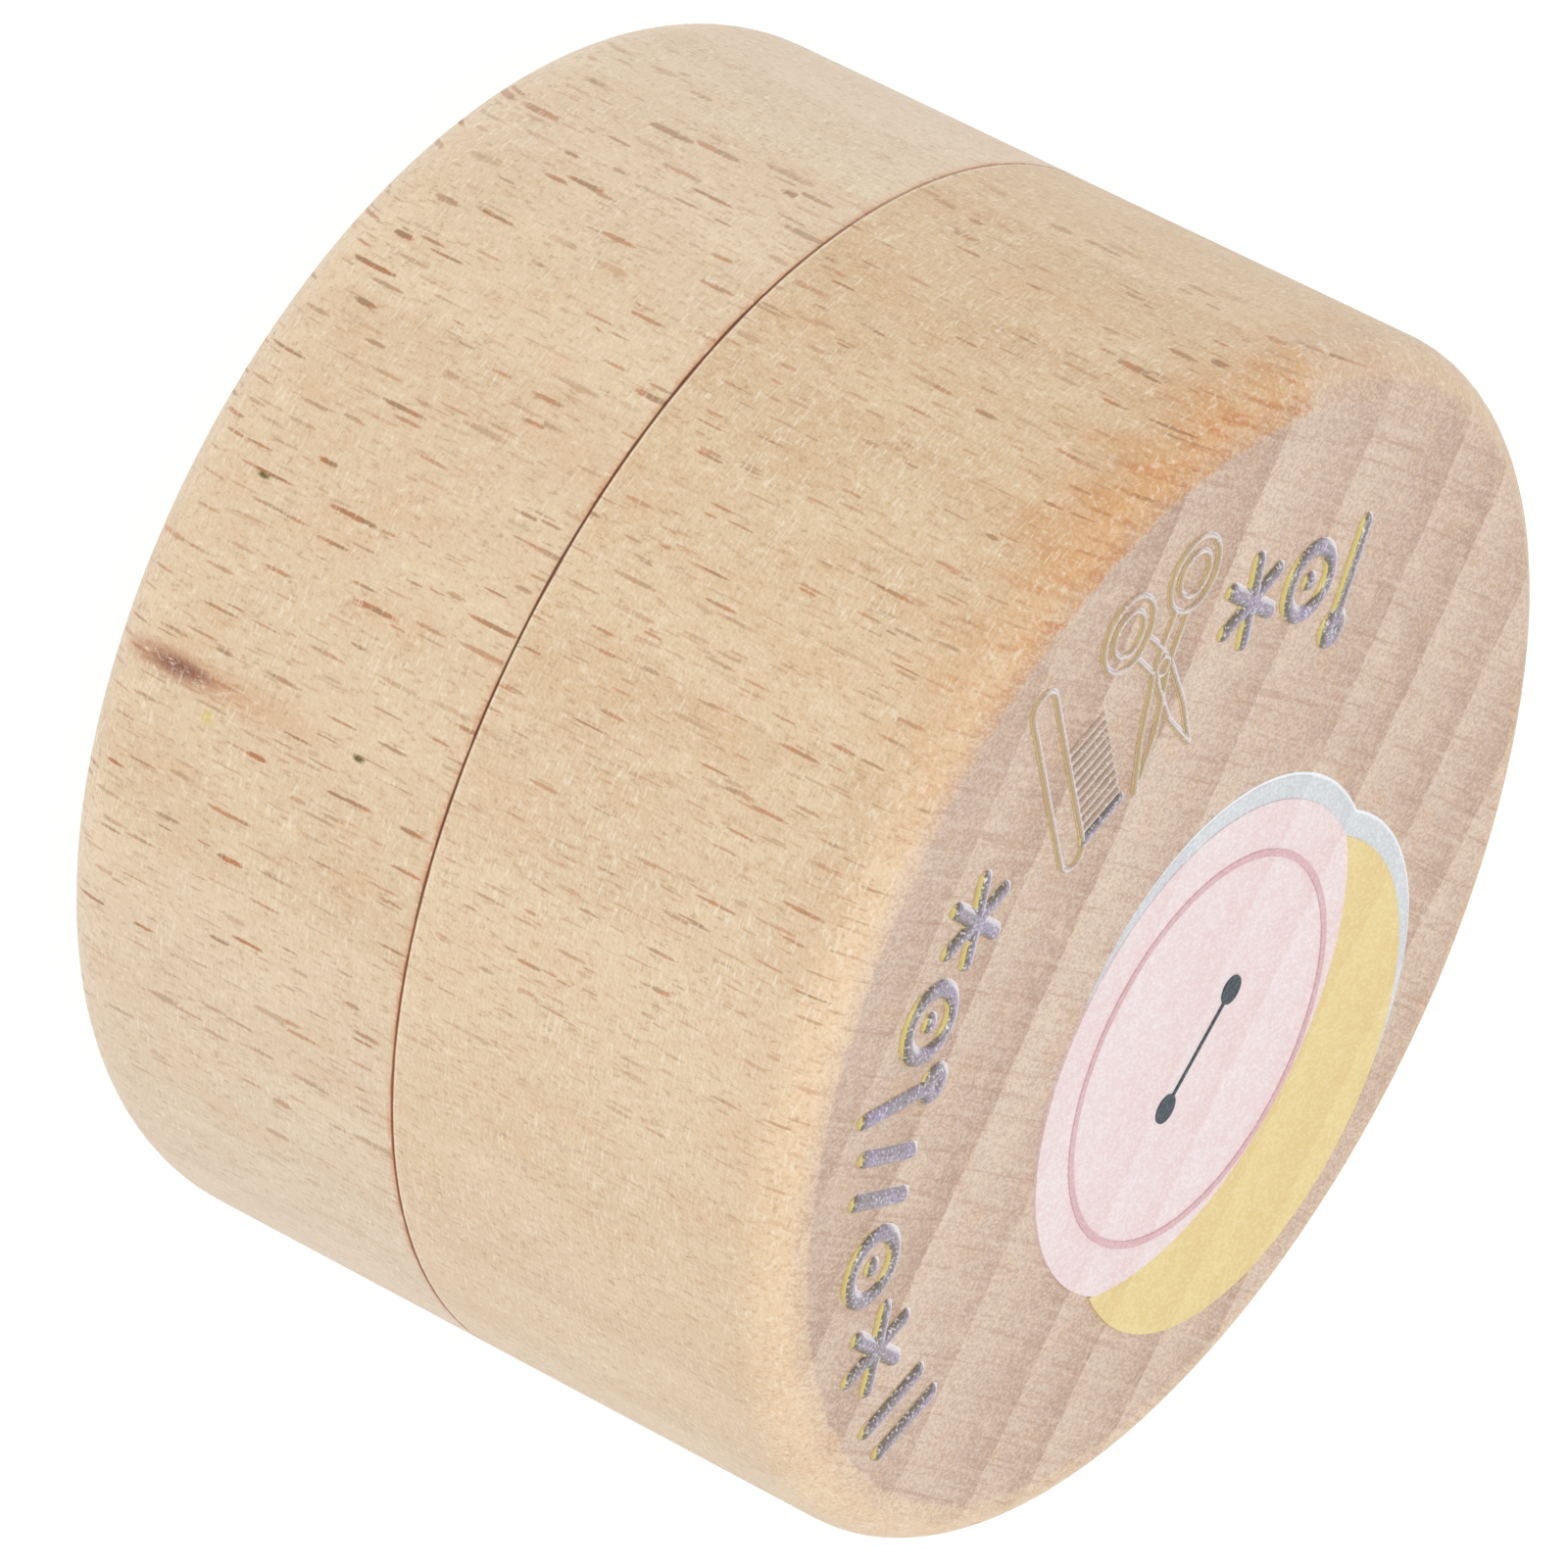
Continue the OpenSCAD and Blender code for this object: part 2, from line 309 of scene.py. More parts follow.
def beech(name, shift, rays, ray_way, wall_light, wall_dark, end_light, end_dark, scuffs, painted_nap_share,
          details):
    """Sanded raw beech.

    shift moves the grain so that no two pieces share it. rays lists the (cell, half, weight, seed) of
    each layer of ray flecks, which stand out where the wall faces ray_way. details lays a piece's own
    marks over the plain wood.
    """
    g = Graph(name)
    place = g.point_mm()
    point = g.vector_math("ADD", place, shift)
    grain = along_rays(g, point)
    normal_x, normal_y, normal_z = g.split(g.object_normal())
    end_grain = g.ramp(g.math("ABSOLUTE", normal_z), 0.86, 0.99)
    side_grain = g.math("SUBTRACT", 1.0, end_grain)
    outward = g.vector_math("NORMALIZE", g.combine(normal_x, normal_y, 0.0))
    across = g.math("ABSOLUTE", g.vector_math("DOT_PRODUCT", outward, ray_way))
    across = g.ramp(across, 0.26, 0.80)
    across = g.times(across, g.ramp(g.math("ABSOLUTE", g.split(outward)[1]), 0.12, 0.45))

    # Growth rings, and soft clouds of creamier and pinker wood.
    tone, tint = ring_tone(g, point)
    tone = g.add(g.times(tone, 0.8), g.times(g.math("SUBTRACT", tint, 0.3), 0.3))
    wall = g.mix(g.math("MULTIPLY_ADD", tone, 0.5, 0.1), wall_light, wall_dark)
    end = g.mix(tone, end_light, end_dark)
    colour = g.mix(end_grain, wall, end)
    cloud = g.noise(point, (0.5, 0.5, 0.22), 3.0, 0.6)
    colour = g.mix(g.ramp(cloud, 0.5, 0.3, 0.0, 0.45), colour, CREAMY_WOOD)
    colour = g.mix(g.ramp(cloud, 0.5, 0.7, 0.0, 0.45), colour, PINK_WOOD)

    colour = details(g, place, colour)

    # Vessels: fine streaks up the wall, and pores where the wood is cut across.
    fibre = g.noise(point, (5.5, 5.5, 2.2), 3.0, 0.65)
    wall_grain = speckle(g, colour, fibre, FIBRE_LIGHT, FIBRE_DARK, 0.50)
    pores = g.noise(point, PORE_SCALE, 3.0, 0.6)
    end_pores = speckle(g, colour, pores, PORE_LIGHT, PORE_DARK, 0.18)
    colour = g.mix(end_grain, wall_grain, end_pores)
    # The raised nap as painted light and shade: each bump lighter on one side and darker on the other.
    painted_nap = g.emboss(point, NAP_SCALE, NAP_SHIFT, NAP_STRENGTH)
    painted_nap_share = g.math("MULTIPLY_ADD", end_grain, 0.12, painted_nap_share)
    colour = speckle(g, colour, painted_nap, NAP_PAINTED_LIGHT, NAP_PAINTED_SHADE, painted_nap_share)

    # Rays: brown dashes on the wall, and faint lines across the rings on the end grain.
    # They stand out where the wall cuts across them and fade where it runs along them.
    blush = g.ramp(g.noise(point, (0.8, 0.8, 1.1), 1.0), 0.35, 0.65)
    ray_colour = g.mix(blush, RAY_BROWN, RAY_RED)
    share = g.math("MULTIPLY_ADD", end_grain, -0.9, 1.0)
    share = g.times(share, g.math("MULTIPLY_ADD", across, 0.92, 0.08))
    for cell, half, weight, seed in rays:
        mask, strength = ray_flecks(g, grain, cell, half, seed)
        shown = g.times(g.times(mask, strength), g.times(share, weight))
        colour = g.mix(shown, colour, ray_colour)
    lines = g.noise(grain, (4.5, 0.14, 0.25), 3.0, 0.65)
    light_lines = g.times(g.ramp(lines, 0.54, 0.66), g.times(end_grain, 0.28))
    colour = g.mix(light_lines, colour, RAY_LINE_LIGHT)
    dark_lines = g.times(g.ramp(lines, 0.45, 0.33), g.times(end_grain, 0.34))
    colour = g.mix(dark_lines, colour, RAY_LINE_DARK)

    # Short level scuffs from sanding on the lathe.
    scuff = g.noise(place, (2.0, 2.0, 9.0), 1.0)
    rubbed = g.ramp(g.noise(place, (0.3, 0.3, 0.3), 2.0), 0.3, 0.7, 0.4, 1.4)
    amount = g.times(side_grain, g.times(rubbed, scuffs))
    colour = g.mix(g.times(g.ramp(scuff, 0.60, 0.70), amount), colour, SCUFF_LIGHT)
    colour = g.mix(g.times(g.ramp(scuff, 0.40, 0.28), g.times(amount, 0.5)), colour, SCUFF_DARK)

    # The outer edge of the joint is burnished dark where the halves rub, less so towards +X.
    x, y, level = g.split(place)
    off_seam = g.math("ABSOLUTE", g.math("SUBTRACT", level, JOINT_Z))
    worn = g.noise(place, (0.5, 0.5, 0.5), 2.0)
    burnish = g.ramp(off_seam, g.math("MULTIPLY_ADD", worn, 0.18, 0.01), 0.02, 0.0, 0.9)
    from_axis = g.vector_math("LENGTH", g.combine(x, y, 0.0))
    rim = g.ramp(from_axis, WALL_RADIUS - 0.22, WALL_RADIUS - 0.10)
    burnish = g.times(burnish, g.times(rim, g.ramp(x, -22.0, -14.0, 0.3, 1.0)))
    singed = g.mix(g.ramp(x, 4.0, 18.0), BURNISH_DARK, BURNISH_PALE)
    colour = g.mix(burnish, colour, singed)

    wall_relief = g.add(g.times(fibre, 0.6), g.times(scuff, g.times(amount, 1.2)))
    height = g.mix(end_grain, wall_relief, g.times(pores, 2.2))
    return g.finish(
        Base_Color=colour,
        Roughness=g.math("MULTIPLY_ADD", fibre, 0.2, 0.5),
        Specular_IOR_Level=0.35,
        Sheen_Weight=0.14,
        Sheen_Roughness=0.5,
        Normal=g.bump(height, 0.10, 0.8),
    )


# The mineral streak's halo, body and core, and the yellow smear beside it, as (centre, half size).
STREAK_HALO = ((7.0, -24.0, 6.6), (1.0, 2.5, 7.4))
STREAK_BODY = ((7.0, -24.0, 4.1), (0.80, 2.5, 3.5))
STREAK_CORE = ((7.0, -24.0, 4.6), (0.48, 2.5, 2.0))
SMEAR = ((8.2, -23.6, 6.3), (0.52, 0.8, 0.42))
OLIVE_SPECKS = ((7.0, -24.0, 13.0), (-0.8, -25.0, 4.6))
OLIVE_SPECK_HALF = (0.2, 0.5, 0.38)

SIDE_PAINTED_SHEEN = srgb(234, 218, 198)
FOOT_GREY = srgb(216, 204, 180)
GRIME = srgb(140, 122, 104)
SEAM_ORANGE = srgb(214, 146, 98)
HALO_BROWN, STREAK_BROWN, CORE_BROWN = srgb(216, 166, 124), srgb(172, 108, 80), srgb(128, 72, 58)
OLIVE = srgb(96, 84, 14)
SMEAR_YELLOW = srgb(224, 200, 108)


def base_details(g, place, colour):
    """Sides towards ±X made paler with painted sheen, a grey and soiled foot, an orange edge at the
    joint, and the marks named above.
    """
    x, y, level = g.split(place)
    soil = g.noise(place, (2.2, 2.2, 2.2), 2.0, 0.6)
    # Painted sheen: the wall turns paler towards ±X.
    colour = g.mix(g.ramp(g.math("ABSOLUTE", x), 10.0, 23.0, 0.0, 0.35), colour, SIDE_PAINTED_SHEEN)
    foot = g.ramp(level, 3.4, 0.6)
    colour = g.mix(g.times(foot, 0.3), colour, FOOT_GREY)
    grime = g.times(g.ramp(soil, 0.62, 0.72), g.times(foot, g.ramp(level, 0.5, 1.4)))
    colour = g.mix(g.times(grime, 0.6), colour, GRIME)
    uneven = g.ramp(g.noise(place, (0.3, 0.3, 0.3), 2.0), 0.3, 0.6, 0.15, 0.7)
    from_axis = g.vector_math("LENGTH", g.combine(x, y, 0.0))
    outside = g.ramp(from_axis, WALL_RADIUS - 0.35, WALL_RADIUS - 0.15)
    edge = g.times(g.ramp(level, JOINT_Z - 0.34, JOINT_Z - 0.06), g.times(uneven, outside))
    colour = g.mix(edge, colour, SEAM_ORANGE)
    halo = spindle(g, place, *STREAK_HALO, 0.0)
    colour = g.mix(g.times(halo, 0.55), colour, HALO_BROWN)
    ragged = g.noise(place, (3.0, 1.0, 0.8), 3.0)
    streak = g.times(spindle(g, place, *STREAK_BODY, 0.15), g.ramp(ragged, 0.2, 0.5))
    colour = g.mix(g.times(streak, 0.80), colour, STREAK_BROWN)
    core = spindle(g, place, *STREAK_CORE, 0.1)
    colour = g.mix(g.times(core, 0.85), colour, CORE_BROWN)
    for centre in OLIVE_SPECKS:
        speck = spindle(g, place, centre, OLIVE_SPECK_HALF)
        colour = g.mix(g.times(speck, 0.95), colour, OLIVE)
    smear = spindle(g, place, *SMEAR, 0.1)
    return g.mix(g.times(smear, 0.75), colour, SMEAR_YELLOW)


# Where on the lid's rim the primer spills over it, and where the stain is strongest.
SPILL_WAY = (-0.98, 0.17, 0.0)
STAIN_WAY = (-0.695, -0.719, 0.0)

PRIMER_HAZE, BRIM_SHADE = srgb(216, 190, 180), srgb(184, 154, 138)
EDGE_PAINTED_LIGHT, EDGE_PAINTED_SHADE = srgb(244, 222, 194), srgb(206, 170, 126)
STAIN_ORANGE, RUST, FILLET_PAINTED_HIGHLIGHT = srgb(217, 163, 108), srgb(204, 128, 74), srgb(243, 212, 175)
SCRATCH_PALE, LIP_PALE = srgb(248, 236, 216), srgb(250, 236, 214)


def lid_details(g, place, colour):
    """The flat face is hazed by the print's clear primer. The rounded edge beside it is stained, with
    painted light towards +X, painted shade towards -X and a painted highlight beside the stain.
    """
    x, y, level = g.split(place)
    spoke = g.combine(x, y, 0.0)
    frayed = g.times(g.noise(place, (1.8, 1.8, 1.8), 3.0, 0.7), 0.9)
    frayed = g.add(frayed, g.vector_math("LENGTH", spoke))
    face = g.ramp(frayed, FACE_RADIUS + 0.6, FACE_RADIUS + 0.4)
    face = g.times(face, g.ramp(level, FACE_Z - 0.6, FACE_Z - 0.3))
    way = g.vector_math("NORMALIZE", spoke)
    spill = g.vector_math("DOT_PRODUCT", way, SPILL_WAY)
    wavering = g.times(g.noise(place, (0.5, 0.5, 0.5), 2.0), 0.08)
    spill = g.ramp(g.add(spill, wavering), 0.81, 0.84)
    spill = g.times(spill, g.ramp(level, FACE_Z - 2.8, FACE_Z - 1.6))
    face = g.math("MAXIMUM", face, g.times(spill, 0.8))
    colour = g.mix(g.times(face, 0.25), colour, PRIMER_HAZE)
    brim = g.ramp(g.vector_math("LENGTH", spoke), FACE_RADIUS - 2.8, FACE_RADIUS - 0.2, 0.0, 0.20)
    brim = g.times(g.times(brim, face), g.ramp(y, 4.0, -8.0))
    colour = g.mix(brim, colour, BRIM_SHADE)
    edge = g.math("SUBTRACT", 1.0, face)
    # The rounded edge has painted light towards +X and warm painted shade towards -X.
    colour = g.mix(g.times(edge, g.ramp(x, -4.0, 8.0, 0.0, 0.23)), colour, EDGE_PAINTED_LIGHT)
    colour = g.mix(g.times(edge, g.ramp(x, 0.0, -14.0, 0.0, 0.20)), colour, EDGE_PAINTED_SHADE)

    # The stain runs a little way down the wall. Beside it the rounded edge carries a cream painted
    # highlight.
    side = g.vector_math("DOT_PRODUCT", way, STAIN_WAY)
    drips = g.noise(place, (0.7, 0.7, 0.10), 3.0, 0.55)
    reach = g.math("MULTIPLY_ADD", drips, 6.0, level)
    stain = g.ramp(reach, FACE_Z - 1.6, FACE_Z + 2.6)
    stain = g.times(stain, g.ramp(side, 0.66, 1.0, 0.12, 1.15))
    stain = g.times(stain, edge)
    patchy = g.ramp(g.noise(place, (0.5, 0.5, 0.3), 3.0), 0.3, 0.65, 0.25, 0.75)
    colour = g.mix(g.times(stain, patchy), colour, STAIN_ORANGE)
    spots = g.ramp(g.noise(along_rays(g, place), (2.4, 0.5, 0.5), 3.0, 0.6), 0.50, 0.68)
    rust = g.times(g.times(spots, stain), g.ramp(level, FACE_Z - 2.6, FACE_Z - 0.4))
    colour = g.mix(g.times(rust, 0.65), colour, RUST)
    # Painted highlight on the rounded edge beside the stain.
    fillet_highlight = g.ramp(level, FACE_Z - 2.0, FACE_Z - 0.7)
    fillet_highlight = g.times(fillet_highlight, g.times(g.ramp(side, 0.97, 0.4), edge))
    colour = g.mix(g.times(fillet_highlight, 0.40), colour, FILLET_PAINTED_HIGHLIGHT)

    # Long level scratches, broken into dots.
    lines = g.noise(g.combine(0.0, 0.0, level), (1.0, 1.0, 7.0), 0.0)
    broken = g.noise(place, (0.12, 0.12, 1.5), 1.0)
    dots = g.ramp(g.noise(place, (1.6, 1.6, 1.6), 1.0), 0.4, 0.55)
    scratch = g.times(g.ramp(lines, 0.68, 0.73), g.times(g.ramp(broken, 0.50, 0.58), dots))
    scratch = g.times(scratch, g.ramp(level, FACE_Z - 1.5, FACE_Z - 3.5))
    colour = g.mix(g.times(scratch, 0.45), colour, SCRATCH_PALE)
    # The turned corner above the joint catches the light.
    lip = g.math("ABSOLUTE", g.math("SUBTRACT", level, JOINT_Z + 0.13))
    return g.mix(g.times(g.ramp(lip, 0.06, 0.02), 0.5), colour, LIP_PALE)


# ---------------------------------------------------------------- ink and varnish


def ink(name, colour, deep, pale):
    """A thin satin print film: the growth rings show faintly through, and the end grain telegraphs, its
    nap as painted light and shade.
    """
    g = Graph(name)
    point = g.point_mm()
    tone, tint = ring_tone(g, point)
    mottle = g.noise(point, 0.9, 3.0)
    pores = g.noise(point, PORE_SCALE, 3.0, 0.6)
    share = g.times(g.add(tone, g.times(tint, 0.3)), 0.6)
    share = g.add(share, g.ramp(mottle, 0.35, 0.7, 0.0, 0.3))
    shade = g.mix(share, colour, deep)
    # The nap as painted light and shade.
    painted_nap = g.emboss(point, NAP_SCALE, NAP_SHIFT, NAP_STRENGTH)
    shade = speckle(g, shade, pores, pale, deep, 0.2)
    shade = speckle(g, shade, painted_nap, pale, deep, 0.34)
    return g.finish(
        Base_Color=shade,
        Roughness=g.math("MULTIPLY_ADD", pores, 0.2, 0.42),
        Specular_IOR_Level=0.4,
        Normal=g.bump(pores, 0.08, 0.7),
    )


# The marks were printed in passes that miss each other by a hair: a yellow pass shows as a fringe on
# this side of every stroke. On the other side a pale film is a painted highlight.
FRINGE_WAY = (0.42, -0.907, 0.0)


def varnish(name, light, dark, grain_light, grain_dark, shade, warm, pale):
    """Raised clear varnish over speckled ink.

    A stroke's side is coloured by which way it faces. Where it falls towards FRINGE_WAY, shade is
    painted shade and warm the misplaced yellow pass; where it falls away from it, pale is a painted
    highlight.
    """
    g = Graph(name)
    point = g.point_mm()
    drift = g.noise(point, 0.5, 2.0)
    speck = g.noise(point, 8.0, 1.0)
    colour = g.mix(g.ramp(drift, 0.35, 0.65), light, dark)
    lean = g.vector_math("DOT_PRODUCT", g.object_normal(), FRINGE_WAY)
    lean = g.math("MULTIPLY_ADD", g.math("SUBTRACT", speck, 0.5), 0.25, lean)
    # Painted shade on the side towards FRINGE_WAY.
    colour = g.mix(g.ramp(lean, 0.02, 0.30), colour, shade)
    colour = speckle(g, colour, speck, grain_light, grain_dark, 0.6)
    colour = g.mix(g.ramp(lean, 0.55, 0.72), colour, warm)
    # Painted highlight on the side away from FRINGE_WAY.
    colour = g.mix(g.ramp(lean, -0.06, -0.36), colour, pale)
    return g.finish(
        Base_Color=colour,
        Roughness=g.math("MULTIPLY_ADD", speck, 0.2, 0.22),
        Coat_Weight=0.6,
        Coat_Roughness=0.15,
        Normal=g.bump(speck, 0.03, 0.8),
    )


def dress(node, material):
    """Gives a carried-over CAD node its material."""
    slots = nodes[node].data.materials
    slots.clear()
    slots.append(material)


dress("base", beech(
    "beech_base", shift=(37.0, 2.6, 220.0),
    rays=(((1.4, 9.0, 2.5), (0.11, 4.4, 0.95), 0.95, 3.1),
          ((1.0, 8.0, 2.0), (0.08, 3.8, 0.70), 0.80, 8.4),
          ((0.9, 5.0, 1.7), (0.055, 2.4, 0.55), 0.40, 6.2)),
    ray_way=(0.0, 1.0, 0.0), wall_light=srgb(233, 209, 176), wall_dark=srgb(219, 188, 152),
    end_light=srgb(222, 200, 180), end_dark=srgb(196, 162, 138), scuffs=0.32, painted_nap_share=0.07,
    details=base_details,
))
dress("lid", beech(
    "beech_lid", shift=(0.0, 0.0, 0.0),
    rays=(((1.3, 9.0, 2.4), (0.095, 4.4, 0.80), 0.85, 5.7),
          ((0.9, 7.0, 1.8), (0.075, 3.4, 0.60), 0.75, 1.9),
          ((0.7, 5.0, 1.4), (0.055, 2.4, 0.50), 0.50, 4.4)),
    ray_way=(0.4, 0.917, 0.0), wall_light=srgb(231, 205, 169), wall_dark=srgb(215, 182, 143),
    end_light=srgb(230, 207, 186), end_dark=srgb(182, 146, 122), scuffs=0.33, painted_nap_share=0.10,
    details=lid_details,
))
for film_name, colour, deep, pale in (
        ("white", srgb(220, 224, 227), srgb(204, 208, 212), srgb(242, 244, 246)),
        ("pink", srgb(241, 227, 228), srgb(234, 208, 206), srgb(248, 242, 242)),
        ("yellow", srgb(237, 216, 154), srgb(228, 201, 138), srgb(243, 228, 182)),
        ("rose", srgb(224, 188, 192), srgb(216, 174, 176), srgb(236, 210, 212)),
        ("dark", srgb(70, 82, 88), srgb(56, 66, 72), srgb(112, 122, 128))):
    dress("print_" + film_name, ink("ink_" + film_name, colour, deep, pale))


# ---------------------------------------------------------------- raised varnish marks

# Millimetres, as in the CAD drawing of the marks.
ARC_CENTRE = Vector((2.4, 1.5))
ARC_RADIUS = 18.2
BOLD = 0.76
FINE = 0.22

# How finely tubes and circles are drawn, and the voxels that join them.
RING_SIDES = 12
CIRCLE_STEPS = 40
SMALL_CIRCLE_STEPS = 20
CAP_DEGREES = (80, 55, 30)
BOLD_VOXEL = 0.05
FINE_VOXEL = 0.03


def on_arc(angle, turn=0.0, shift=(0.0, 0.0)):
    """Places a drawing, made upright round its own centre, on the arc with its top to the middle."""
    matrix = Matrix.Translation(Vector((ARC_CENTRE.x, ARC_CENTRE.y, FACE_Z)))
    matrix = matrix @ Matrix.Rotation(math.radians(angle), 4, "Z")
    matrix = matrix @ Matrix.Translation((ARC_RADIUS, 0, 0))
    matrix = matrix @ Matrix.Rotation(math.radians(90 + turn), 4, "Z")
    return matrix @ Matrix.Translation((shift[0], shift[1], 0))


def add_tube(bm, matrix, path, width, height, closed=False):
    """A flattened tube along path with round ends; its middle lies on the lid's face."""
    points = [Vector(p) for p in path]
    sections = []
    last = len(points) - 1
    for index, point in enumerate(points):
        before = points[index - 1] if index or closed else point
        after = points[(index + 1) % len(points)] if index < last or closed else point
        way = (after - before).normalized()
        sections.append((point, way, 1.0))
    if not closed:
        cap = [(math.sin(a), math.cos(a)) for a in (math.radians(d) for d in CAP_DEGREES)]
        head_way, tail_way = sections[0][1], sections[-1][1]
        head = [(points[0] - head_way * along * width / 2, head_way, size) for along, size in cap]
        tail = [(points[-1] + tail_way * along * width / 2, tail_way, size)
                for along, size in reversed(cap)]
        sections = head + sections + tail
    rings = []
    for point, way, size in sections:
        side = Vector((-way.y, way.x))
        ring = []
        for step in range(RING_SIDES):
            turn = 2 * math.pi * step / RING_SIDES
            flat = point + side * (math.cos(turn) * width / 2 * size)
            place = Vector((flat.x, flat.y, math.sin(turn) * height * size))
            ring.append(bm.verts.new(matrix @ place))
        rings.append(ring)
    pairs = list(zip(rings, rings[1:]))
    if closed:
        pairs.append((rings[-1], rings[0]))
    for one, two in pairs:
        for step in range(RING_SIDES):
            nxt = (step + 1) % RING_SIDES
            bm.faces.new((one[step], one[nxt], two[nxt], two[step]))
    if not closed:
        bm.faces.new(list(reversed(rings[0])))
        bm.faces.new(rings[-1])


def circle_path(centre, radius, count=CIRCLE_STEPS):
    return [(centre[0] + radius * math.cos(2 * math.pi * i / count),
             centre[1] + radius * math.sin(2 * math.pi * i / count)) for i in range(count)]


def turned(point, degrees):
    """A point turned about the drawing's middle."""
    return tuple(Matrix.Rotation(math.radians(degrees), 2) @ Vector(point))


# Each drawing is a list of (path, stroke width, closed), in millimetres.


def pin_drawing():
    head = circle_path((-0.4, 1.9), 0.42, SMALL_CIRCLE_STEPS)
    head_width = 0.95
    return [([(0.4, -2.4), (-0.3, 1.5)], BOLD, False), (head, head_width, True)]


def ring_drawing():
    radius, dot_half_length, dot_width = 1.4, 0.02, 0.84
    dot = [(-dot_half_length, 0), (dot_half_length, 0)]
    return [(circle_path((0, 0), radius), BOLD, True), (dot, dot_width, False)]


def star_drawing():
    arm = 1.75
    return [([turned((-arm, 0), angle), turned((arm, 0), angle)], BOLD, False)
            for angle in (30, 90, 150)]


def pair_drawing():
    lean, half_height, half_gap = 0.4, 1.6, 0.95
    return [([(side - lean, -half_height), (side + lean, half_height)], BOLD, False)
            for side in (-half_gap, half_gap)]


def scissors_drawing():
    rivet, blade_turn, blade_length, blade_half, taper_at = 0.4, 17, 5.4, 0.475, 3.0
    tip_x = 0.15
    bow_turn, bow_reach, bow_radius, bow_wall = 34, 3.7, 1.55, 0.62
    drawing = [(circle_path((0, 0), rivet, SMALL_CIRCLE_STEPS), FINE, True)]
    for mirror in (1, -1):
        def flip(point):
            return (point[0] * mirror, point[1])

        for side in (-blade_half, blade_half):
            blade = [(side, rivet), (side, taper_at), (tip_x, blade_length)]
            shank = [(side, -rivet), (side, bow_radius - bow_reach)]
            drawing.append(([flip(turned(p, -blade_turn)) for p in blade], FINE, False))
            drawing.append(([flip(turned(p, -bow_turn)) for p in shank], FINE, False))
        bow = flip(turned((0, -bow_reach), -bow_turn))
        drawing += [(circle_path(bow, r), FINE, True) for r in (bow_radius, bow_radius - bow_wall)]
    return drawing


def comb_drawing():
    """The comb's back first, then its teeth. The end tooth is thick."""
    half_width, top, teeth, tooth_length, pitch, end_tooth_width = 0.7, 4.3, 11, 2.3, 0.5, 0.5
    cap = [(math.cos(math.radians(a)) * half_width, math.sin(math.radians(a)) * half_width)
           for a in range(0, 181, 15)]
    back = [(x, top + y) for x, y in cap] + [(-x, -top - y) for x, y in cap]
    drawing = [(back, FINE, True)]
    for index in range(teeth):
        y = top - index * pitch
        width = end_tooth_width if index == 0 else FINE
        drawing.append(([(-half_width - tooth_length, y), (-half_width, y)], width, False))
    return drawing


def cut_flat(bm, level, keep_above):
    """Cuts a mesh level, in metres, and closes the cut."""
    up = 1 if keep_above else -1
    cut = bmesh.ops.bisect_plane(bm, geom=bm.verts[:] + bm.edges[:] + bm.faces[:], dist=1e-7,
                                 plane_co=(0, 0, level), plane_no=(0, 0, up), clear_inner=True)
    rim = [e for e in cut["geom_cut"] if isinstance(e, bmesh.types.BMEdge)]
    bmesh.ops.triangle_fill(bm, use_beauty=True, edges=rim, normal=(0, 0, -up))


def printed_piece(name, placed, height, voxel, material, film=None):
    """Joins placed drawings into one rounded bead on the lid's face.

    With film, the piece is a flat film of that thickness instead.
    """
    bm = bmesh.new()
    for matrix, drawing in placed:
        for path, width, closed in drawing:
            add_tube(bm, matrix, path, width, height, closed)
    bmesh.ops.recalc_face_normals(bm, faces=bm.faces)
    mesh = bpy.data.meshes.new(name)
    bm.to_mesh(mesh)
    bm.free()
    mesh.transform(Matrix.Scale(MM, 4))
    obj = bpy.data.objects.new(name, mesh)
    bpy.context.scene.collection.objects.link(obj)
    remesh = obj.modifiers.new("join", "REMESH")
    remesh.mode = "VOXEL"
    remesh.voxel_size = voxel * MM
    remesh.use_smooth_shade = film is None
    relax = obj.modifiers.new("relax", "SMOOTH")
    relax.factor = 0.5
    relax.iterations = 3
    graph = bpy.context.evaluated_depsgraph_get()
    joined = bpy.data.meshes.new_from_object(obj.evaluated_get(graph), depsgraph=graph)
    obj.modifiers.clear()
    bm = bmesh.new()
    bm.from_mesh(joined)
    cut_flat(bm, HEIGHT, keep_above=True)
    if film:
        cut_flat(bm, HEIGHT + film * MM, keep_above=False)
    bm.to_mesh(joined)
    bm.free()
    obj.data = joined
    obj.data.materials.append(material)
    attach(obj, "lid_body")
    return obj


BOLD_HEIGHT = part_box("relief_left")[1].z / MM - FACE_Z
FINE_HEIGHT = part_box("relief_comb")[1].z / MM - FACE_Z
